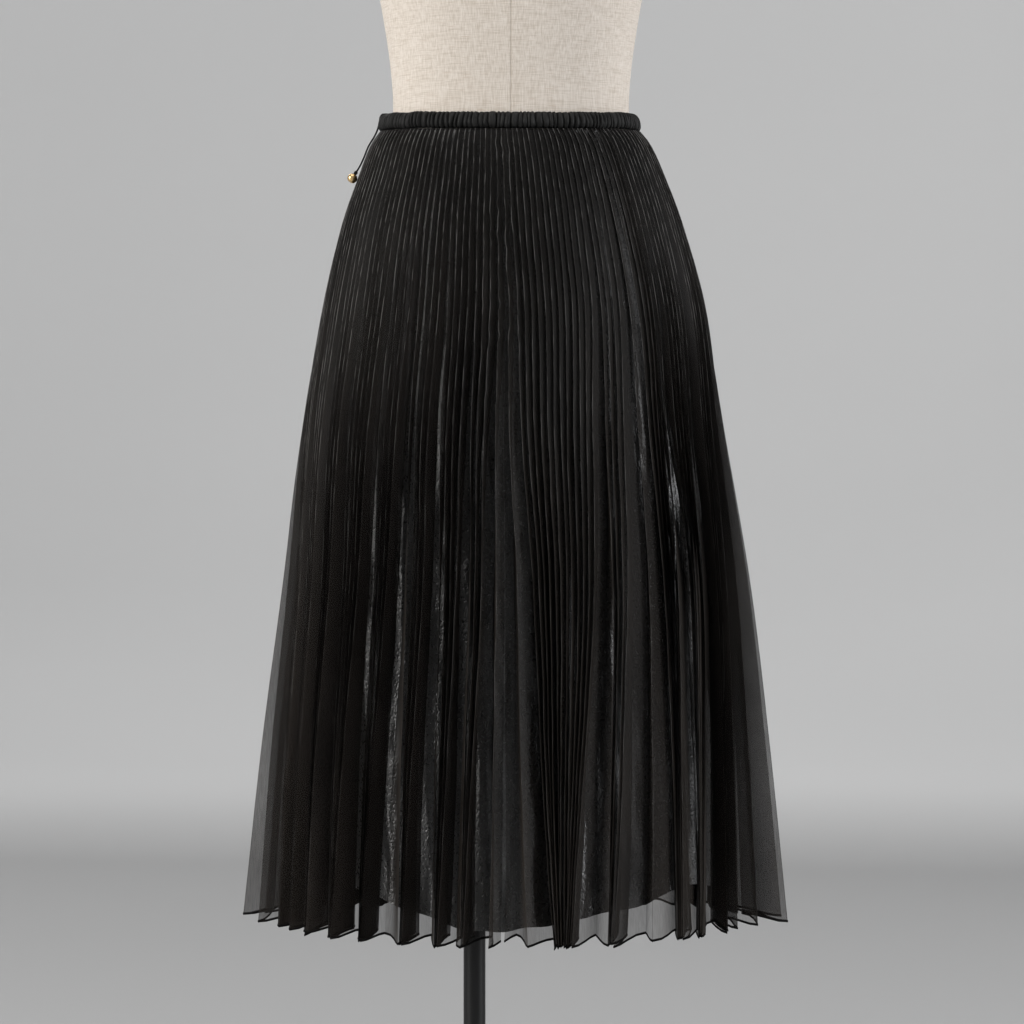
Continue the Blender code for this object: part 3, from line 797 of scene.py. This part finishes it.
def cord_along(name, route, finish):
    """A round cord along a route, riding on the part's one body."""
    curve = bpy.data.curves.new(name, "CURVE")
    curve.dimensions = "3D"
    curve.bevel_depth = TIE_RADIUS
    curve.bevel_resolution = 3
    curve.use_fill_caps = True
    spline = curve.splines.new("POLY")
    spline.points.add(len(route) - 1)
    for point, place in zip(spline.points, route):
        point.co = (*place, 1.0)
    curve.materials.append(finish)
    cord = bpy.data.objects.new(name, curve)
    bpy.context.scene.collection.objects.link(cord)
    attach(cord, "root")
    return cord


def gold_bead(name, end, run, finish):
    """The bead below the cord's end, flattened where the cord enters and leaves it."""
    turn = Vector((0, 0, 1)).rotation_difference(run).to_matrix().to_4x4()
    flat = BEAD_FLATNESS * BEAD_RADIUS
    builder = bmesh.new()
    bmesh.ops.create_uvsphere(builder, u_segments=32, v_segments=20, radius=BEAD_RADIUS)
    for vertex in builder.verts:
        if abs(vertex.co.z) > flat:
            vertex.co.z = math.copysign(flat, vertex.co.z)
    bmesh.ops.transform(builder, matrix=turn, verts=builder.verts[:])
    middle = end + run * (BEAD_RADIUS + SEAM_GAP)
    bmesh.ops.translate(builder, verts=builder.verts[:], vec=middle)
    smoothed(builder)
    return piece(name, builder, finish)


def knot_above(name, end, run, finish):
    """The small knot that holds the bead."""
    builder = bmesh.new()
    bmesh.ops.create_uvsphere(builder, u_segments=20, v_segments=12, radius=KNOT_RADIUS)
    for vertex in builder.verts:
        place = vertex.co
        swell = 1.0 + 0.18 * math.sin(3 * math.atan2(place.y, place.x) + place.z / MM * 1.6)
        vertex.co = Vector((place.x * swell, place.y * swell, place.z * 1.1))
    bmesh.ops.translate(builder, verts=builder.verts[:], vec=end - run * KNOT_LIFT)
    smoothed(builder)
    return piece(name, builder, finish)


def tie(finish, bead_finish):
    """The cord's free end with its knot and bead."""
    route = tie_route()
    cord = cord_along("tie", route, finish)
    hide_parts("tie_cord")
    run = (route[-1] - route[-2]).normalized()
    bead = gold_bead("bead", route[-1], run, bead_finish)
    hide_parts("tie_bead")
    knot = knot_above("knot", route[-1], run, finish)


# Stand

def turned(name, profile, steps, finish, scale=MM):
    """A solid of revolution about the upright axis, crisp where its faces meet at an angle."""
    builder = bmesh.new()
    corners = [builder.verts.new((row.radius * scale, 0.0, row.height * scale)) for row in profile]
    edges = [builder.edges.new(pair) for pair in zip(corners, corners[1:])]
    bmesh.ops.spin(
        builder, geom=corners + edges, axis=(0.0, 0.0, 1.0), cent=(0.0, 0.0, 0.0),
        angle=math.tau, steps=steps, use_merge=True,
    )
    joined(builder)
    bmesh.ops.recalc_face_normals(builder, faces=builder.faces[:])
    smoothed(builder)
    for edge in builder.edges:
        if len(edge.link_faces) == 2:
            edge.smooth = edge.calc_face_angle() < CRISP_ANGLE
    return made_of(name, builder, finish)


def stand(finish):
    """The pole, from the base up to the form's underside, and the base."""
    top = (FORM_BOTTOM - SEAM_GAP) / MM
    foot = POLE_FOOT / MM
    radius = POLE_RADIUS / MM
    inner = radius - POLE_CHAMFER
    profile = (
        Turn(0.0, foot), Turn(inner, foot), Turn(radius, foot + POLE_CHAMFER),
        Turn(radius, foot + POLE_LOWER_PART), Turn(radius, top - POLE_CHAMFER),
        Turn(inner, top), Turn(0.0, top),
    )
    pole = turned("pole", profile, 64, finish)
    base = turned("base", BASE_PROFILE, 96, finish)
    for made, node_name in ((pole, "stand_pole"), (base, "stand_base")):
        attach(made, "root")
        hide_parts(node_name)
    return pole, base


# Node helpers

def node(tree, kind, **values):
    """A new node with its inputs and settings."""
    made = tree.nodes.new(kind)
    for key, value in values.items():
        if key in made.inputs:
            made.inputs[key].default_value = value
        else:
            setattr(made, key, value)
    return made


def feed(tree, sockets, values):
    """Gives each named input its value, or links it where the value is another node's output."""
    for name, value in values.items():
        if isinstance(value, bpy.types.NodeSocket):
            tree.links.new(value, sockets[name])
        else:
            sockets[name].default_value = value


def shader_of(name):
    """A new material with its node tree, its shader and the place on the object."""
    made = bpy.data.materials.new(name)
    made.use_nodes = True
    tree = made.node_tree
    place = node(tree, "ShaderNodeTexCoord").outputs["Object"]
    return made, tree, tree.nodes["Principled BSDF"], place


def maths(tree, operation, *terms, clamp=False):
    """What a sum of numbers and outputs comes to."""
    made = node(tree, "ShaderNodeMath", operation=operation, use_clamp=clamp)
    feed(tree, made.inputs, dict(enumerate(terms)))
    return made.outputs[0]


def ranged(tree, value, from_min=0.0, from_max=1.0, to_min=0.0, to_max=1.0):
    """A value moved from one range to another and kept inside it."""
    made = node(tree, "ShaderNodeMapRange")
    feed(tree, made.inputs, {
        "Value": value, "From Min": from_min, "From Max": from_max, "To Min": to_min, "To Max": to_max,
    })
    return made.outputs["Result"]


def mixed(tree, factor, first, second):
    """A colour between two others."""
    made = node(tree, "ShaderNodeMix", data_type="RGBA")
    feed(tree, made.inputs, {"Factor": factor, "A": first, "B": second})
    return made.outputs["Result"]


def split_of(tree, vector):
    """The outputs X, Y and Z of a vector."""
    made = node(tree, "ShaderNodeSeparateXYZ")
    feed(tree, made.inputs, {"Vector": vector})
    return made.outputs


def bumped(tree, height, strength, distance, under=None, invert=False):
    """A normal for a relief, on top of the relief under it."""
    made = node(tree, "ShaderNodeBump", invert=invert)
    feed(tree, made.inputs, {"Height": height, "Strength": strength, "Distance": distance})
    if under is not None:
        feed(tree, made.inputs, {"Normal": under})
    return made.outputs["Normal"]


def ridges(tree, place, scale, rotation, **values):
    """Creases: ridged noise on stretched and turned coordinates."""
    mapped = node(tree, "ShaderNodeMapping", Scale=scale, Rotation=rotation)
    feed(tree, mapped.inputs, {"Vector": place})
    made = node(tree, "ShaderNodeTexNoise", noise_type="RIDGED_MULTIFRACTAL", Scale=1.0, **values)
    feed(tree, made.inputs, {"Vector": mapped.outputs["Vector"]})
    return made.outputs["Fac"]


def threads_group():
    """Threads: fine unevenness drawn out along the cloth's length."""
    group = bpy.data.node_groups.new("threads", "ShaderNodeTree")
    for name, side, kind in (
        ("Place", "INPUT", "NodeSocketVector"), ("Across", "INPUT", "NodeSocketFloat"),
        ("Along", "INPUT", "NodeSocketFloat"), ("Mask", "OUTPUT", "NodeSocketFloat"),
    ):
        group.interface.new_socket(name, in_out=side, socket_type=kind)
    start = node(group, "NodeGroupInput").outputs
    scale = node(group, "ShaderNodeCombineXYZ")
    feed(group, scale.inputs, {"X": start["Across"], "Y": start["Across"], "Z": start["Along"]})
    scaled = node(group, "ShaderNodeVectorMath", operation="MULTIPLY")
    feed(group, scaled.inputs, {0: start["Place"], 1: scale.outputs["Vector"]})
    speckle = node(group, "ShaderNodeTexNoise", Scale=1.0, Detail=1.5)
    feed(group, speckle.inputs, {"Vector": scaled.outputs["Vector"]})
    feed(group, node(group, "NodeGroupOutput").inputs, {"Mask": speckle.outputs["Fac"]})
    return group


def threads_in(tree, threads, place, grain):
    """The mask of threads with this grain."""
    made = node(tree, "ShaderNodeGroup", node_tree=threads)
    feed(tree, made.inputs, {"Place": place, "Across": grain.across, "Along": grain.along})
    return made.outputs["Mask"]


# Finishes

def organza_cover(tree, creased_part, away, height, weave):
    """How much of the light a layer of organza holds back, more where it is seen at a slant."""
    cloth = ranged(tree, weave, 0.3, 0.7, 0.28, 0.38)
    closed = maths(tree, "MULTIPLY_ADD", away, 0.30, 0.22)
    denser = maths(tree, "MULTIPLY_ADD", closed, height, cloth)
    cover = maths(tree, "MULTIPLY_ADD", creased_part, 0.3, denser, clamp=True)
    clear = maths(tree, "SUBTRACT", 1.0, cover, clamp=True)
    slant = node(tree, "ShaderNodeLayerWeight", Blend=0.5).outputs["Facing"]
    face_on = maths(tree, "MAXIMUM", maths(tree, "SUBTRACT", 1.0, slant), 0.12)
    passed = maths(tree, "POWER", clear, maths(tree, "DIVIDE", 1.0, face_on))
    return maths(tree, "SUBTRACT", 1.0, passed, clamp=True)


def organza_finish(threads):
    """Sheer pleated organza: see-through faces, with shade painted in toward the valley folds and a
    highlight painted on the ridges.
    """
    made, tree, shader, place = shader_of("organza")
    cloth = split_of(tree, node(tree, "ShaderNodeUVMap", uv_map="cloth").outputs["UV"])
    weave, clouds, breaks = (
        threads_in(tree, threads, place, grain)
        for grain in (ORGANZA_WEAVE, ORGANZA_CLOUDS, ORGANZA_BREAKS)
    )
    away = maths(tree, "PINGPONG", cloth["X"], 1.0)
    wider = (FACE_AT_HEM - FACE_AT_WAIST) / OUTER_DROP
    width = maths(tree, "MULTIPLY_ADD", cloth["Y"], wider, FACE_AT_WAIST)
    from_fold = maths(tree, "MULTIPLY", away, width)
    creased_part = ranged(tree, from_fold, 0.15 * MM, 0.6 * MM, 1.0, 0.0)
    height = ranged(tree, cloth["Y"], 0.0, OUTER_DROP, 1.0, 0.25)
    # Painted highlight: glints broken along the ridge folds, fading toward the hem.
    glint = maths(tree, "MULTIPLY", ranged(tree, breaks, 0.46, 0.60, 0.22, 1.0), height)
    # Painted shade: each face darkens from its ridge toward its valley fold, mixed with the random
    # clouds.
    near_ridge = ranged(tree, away, to_min=1.0, to_max=0.12)
    painted_light_and_clouds = maths(tree, "MULTIPLY", near_ridge, clouds)
    tone = mixed(tree, height, ORGANZA_AT_HEM, ORGANZA_AT_WAIST)
    tone = mixed(tree, painted_light_and_clouds, ORGANZA_PAINTED_SHADE, tone)
    feed(tree, shader.inputs, {
        "Alpha": organza_cover(tree, creased_part, away, height, weave),
        "Base Color": mixed(
            tree, maths(tree, "MULTIPLY", creased_part, glint), tone, ORGANZA_GLINT,
        ),
        "Roughness": ranged(tree, clouds, to_min=0.42, to_max=0.6),
        "Specular IOR Level": 0.07,
    })
    return made


def satin_finish(threads):
    """Thin black satin that has crinkled and shines in streaks, smoother towards the hem."""
    made, tree, shader, place = shader_of("satin")
    weave = threads_in(tree, threads, place, SATIN_WEAVE)
    higher = ranged(tree, split_of(tree, place)["Z"], 0.26, 0.46, 0.12)
    large = ridges(
        tree, place, (34.0, 34.0, 17.0), (0.0, 0.55, 0.0), Detail=2.0, Roughness=0.5, Distortion=0.4,
    )
    small = ridges(tree, place, (110.0, 110.0, 46.0), (0.3, -0.7, 0.2), Detail=1.0, Distortion=0.5)
    relief = bumped(tree, maths(tree, "MULTIPLY", large, higher), 0.75, 4.0 * MM)
    relief = bumped(tree, maths(tree, "MULTIPLY", small, higher), 0.3, 1.6 * MM, relief)
    relief = bumped(tree, weave, 0.5, 0.9 * MM, relief)
    feed(tree, shader.inputs, {
        "Base Color": mixed(tree, weave, *SATIN_TONES),
        "Roughness": ranged(tree, weave, to_min=0.20, to_max=0.38),
        "Specular IOR Level": 1.0,
        "IOR": 1.9,
        "Coat Weight": 0.6,
        "Coat Roughness": 0.2,
        "Coat IOR": 1.8,
        "Sheen Weight": 0.05,
        "Normal": relief,
        "Coat Normal": relief,
    })
    return made


def band_finish(threads):
    """The waistband's dense black cloth, with shade painted darkest between its gathers and along its
    lower edge.
    """
    made, tree, shader, place = shader_of("band_cloth")
    weave = threads_in(tree, threads, place, BAND_WEAVE)
    cloth = split_of(tree, node(tree, "ShaderNodeUVMap", uv_map="cloth").outputs["UV"])
    feed(tree, shader.inputs, {
        # Painted shade from the UV map, with the weave's random tone.
        "Base Color": mixed(tree, maths(tree, "MULTIPLY", cloth["Y"], weave), *BAND_TONES),
        "Roughness": ranged(tree, weave, to_min=0.45, to_max=0.65),
        "Specular IOR Level": 0.14,
        "Normal": bumped(tree, weave, 0.5, 0.6 * MM),
    })
    return made


def linen_finish(threads):
    """Natural linen with slubs, and a stitched seam down the middle of each side."""
    made, tree, shader, place = shader_of("linen")
    warp = threads_in(tree, threads, place, LINEN_WARP)
    weft = threads_in(tree, threads, place, LINEN_WEFT)
    cross = maths(tree, "ADD", warp, weft)
    slub = maths(tree, "MULTIPLY", ranged(tree, weft, 0.60, 0.76), 0.5)
    tone = mixed(tree, ranged(tree, cross, 0.7, 1.25), *LINEN_TONES)
    tone = mixed(tree, slub, tone, LINEN_SLUB)
    beside = maths(tree, "SUBTRACT", split_of(tree, place)["X"], FORM_AXIS_X)
    seam = ranged(tree, maths(tree, "ABSOLUTE", beside), 0.2 * MM, 1.1 * MM, 1.0, 0.0)
    relief = bumped(tree, cross, 0.35, 0.4 * MM)
    feed(tree, shader.inputs, {
        "Base Color": mixed(tree, maths(tree, "MULTIPLY", seam, 0.45), tone, LINEN_SEAM),
        "Roughness": 0.88,
        "Sheen Weight": 0.1,
        "Specular IOR Level": 0.25,
        "Normal": bumped(tree, seam, 0.6, 0.8 * MM, relief, invert=True),
    })
    return made


def plain_finish(name, threads, low, high, rough, bump_size=0.3, metallic=0.0, specular=0.5):
    """A finish of two near tones with a little unevenness in gloss."""
    made, tree, shader, place = shader_of(name)
    grain = threads_in(tree, threads, place, PLAIN_GRAIN)
    feed(tree, shader.inputs, {
        "Base Color": mixed(tree, grain, (*low, 1.0), (*high, 1.0)),
        "Roughness": ranged(tree, grain, to_min=rough - 0.05, to_max=rough + 0.07),
        "Metallic": metallic,
        "Specular IOR Level": specular,
        "Normal": bumped(tree, grain, bump_size, 0.2 * MM),
    })
    return made


def studio_finish():
    """Plain grey paper, a little uneven, with light painted slightly stronger at the floor."""
    made, tree, shader, place = shader_of("studio_paper")
    soft = node(tree, "ShaderNodeTexNoise", Scale=0.5, Detail=1.0)
    feed(tree, soft.inputs, {"Vector": place})
    # Painted light: the paper is made a little lighter low down, at the floor.
    low = ranged(tree, split_of(tree, place)["Z"], 0.0, 0.7, 0.15, 0.1)
    unevenness_and_painted_light = maths(tree, "MULTIPLY_ADD", soft.outputs["Fac"], 0.2, low, clamp=True)
    feed(tree, shader.inputs, {
        "Base Color": mixed(tree, unevenness_and_painted_light, *PAPER_TONES),
        "Roughness": 0.9,
        "Specular IOR Level": 0.1,
    })
    return made


# Camera and light

def camera():
    """The photo's camera: level, straight on and far away."""
    made = bpy.data.objects.new("camera", bpy.data.cameras.new("camera"))
    bpy.context.scene.collection.objects.link(made)
    made.location = (CAMERA_X, -CAMERA_DISTANCE, CAMERA_HEIGHT)
    made.rotation_euler = (math.pi / 2, 0.0, 0.0)
    made.data.lens = CAMERA_LENS
    made.data.clip_end = 60.0
    bpy.context.scene.camera = made


def softbox(light):
    """A rectangular light that the camera doesn't see."""
    data = bpy.data.lights.new(light.name, "AREA")
    data.shape = "RECTANGLE"
    data.size, data.size_y = light.wide, light.tall
    data.energy = light.power
    data.color = light.tint
    made = bpy.data.objects.new(light.name, data)
    bpy.context.scene.collection.objects.link(made)
    made.location = light.place
    made.rotation_mode = "QUATERNION"
    towards = Vector(light.target) - made.location
    made.rotation_quaternion = towards.to_track_quat("-Z", "Y")
    made.visible_camera = False


def studio():
    """The paper floor and backdrop, the sky's even light and the softboxes."""
    floor = turned("studio_floor", STUDIO_PROFILE, 96, studio_finish(), scale=1.0)
    world = bpy.data.worlds.new("studio")
    world.use_nodes = True
    sky = world.node_tree.nodes["Background"].inputs
    sky["Color"].default_value = (*COOL, 1.0)
    sky["Strength"].default_value = SKY_STRENGTH
    bpy.context.scene.world = world
    for light in LIGHTS:
        softbox(light)


def main():
    """Builds every piece, then the studio round it."""
    camera()
    bpy.context.scene.view_settings.view_transform = "Standard"
    threads = threads_group()
    cord_cloth = plain_finish(
        "cord", threads, (0.003, 0.003, 0.003), (0.008, 0.008, 0.008), 0.7, 0.6, specular=0.15,
    )
    gold = plain_finish("gold", threads, (0.72, 0.47, 0.20), (0.86, 0.62, 0.32), 0.24, 0.1, 1.0)
    tie(cord_cloth, gold)
    organza = organza_finish(threads)
    hem_thread = plain_finish(
        "hem_thread", threads, (0.0008, 0.0007, 0.0006), (0.0025, 0.0020, 0.0018), 0.7,
        specular=0.08,
    )
    for name, first, node_name in (
        ("organza_right", 0, "outer_right"), ("organza_left", PLEATS, "outer_left"),
    ):
        panel, roll = organza_panel(name, first, organza, hem_thread)
        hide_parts(node_name)
    satin = satin_finish(threads)
    for name, start, node_name in (
        ("satin_near", -0.25, "lining_near"), ("satin_far", 0.25, "lining_far"),
    ):
        panel = lining_panel(name, start, satin)
        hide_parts(node_name)
    band = gathered_waistband("gathered_band", band_finish(threads))
    torso = linen_torso("linen_torso", linen_finish(threads))
    black = plain_finish(
        "black_metal", threads, (0.006, 0.006, 0.006), (0.011, 0.011, 0.012), 0.4, 0.15,
        specular=0.3,
    )
    for made in stand(black):
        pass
    studio()


main()
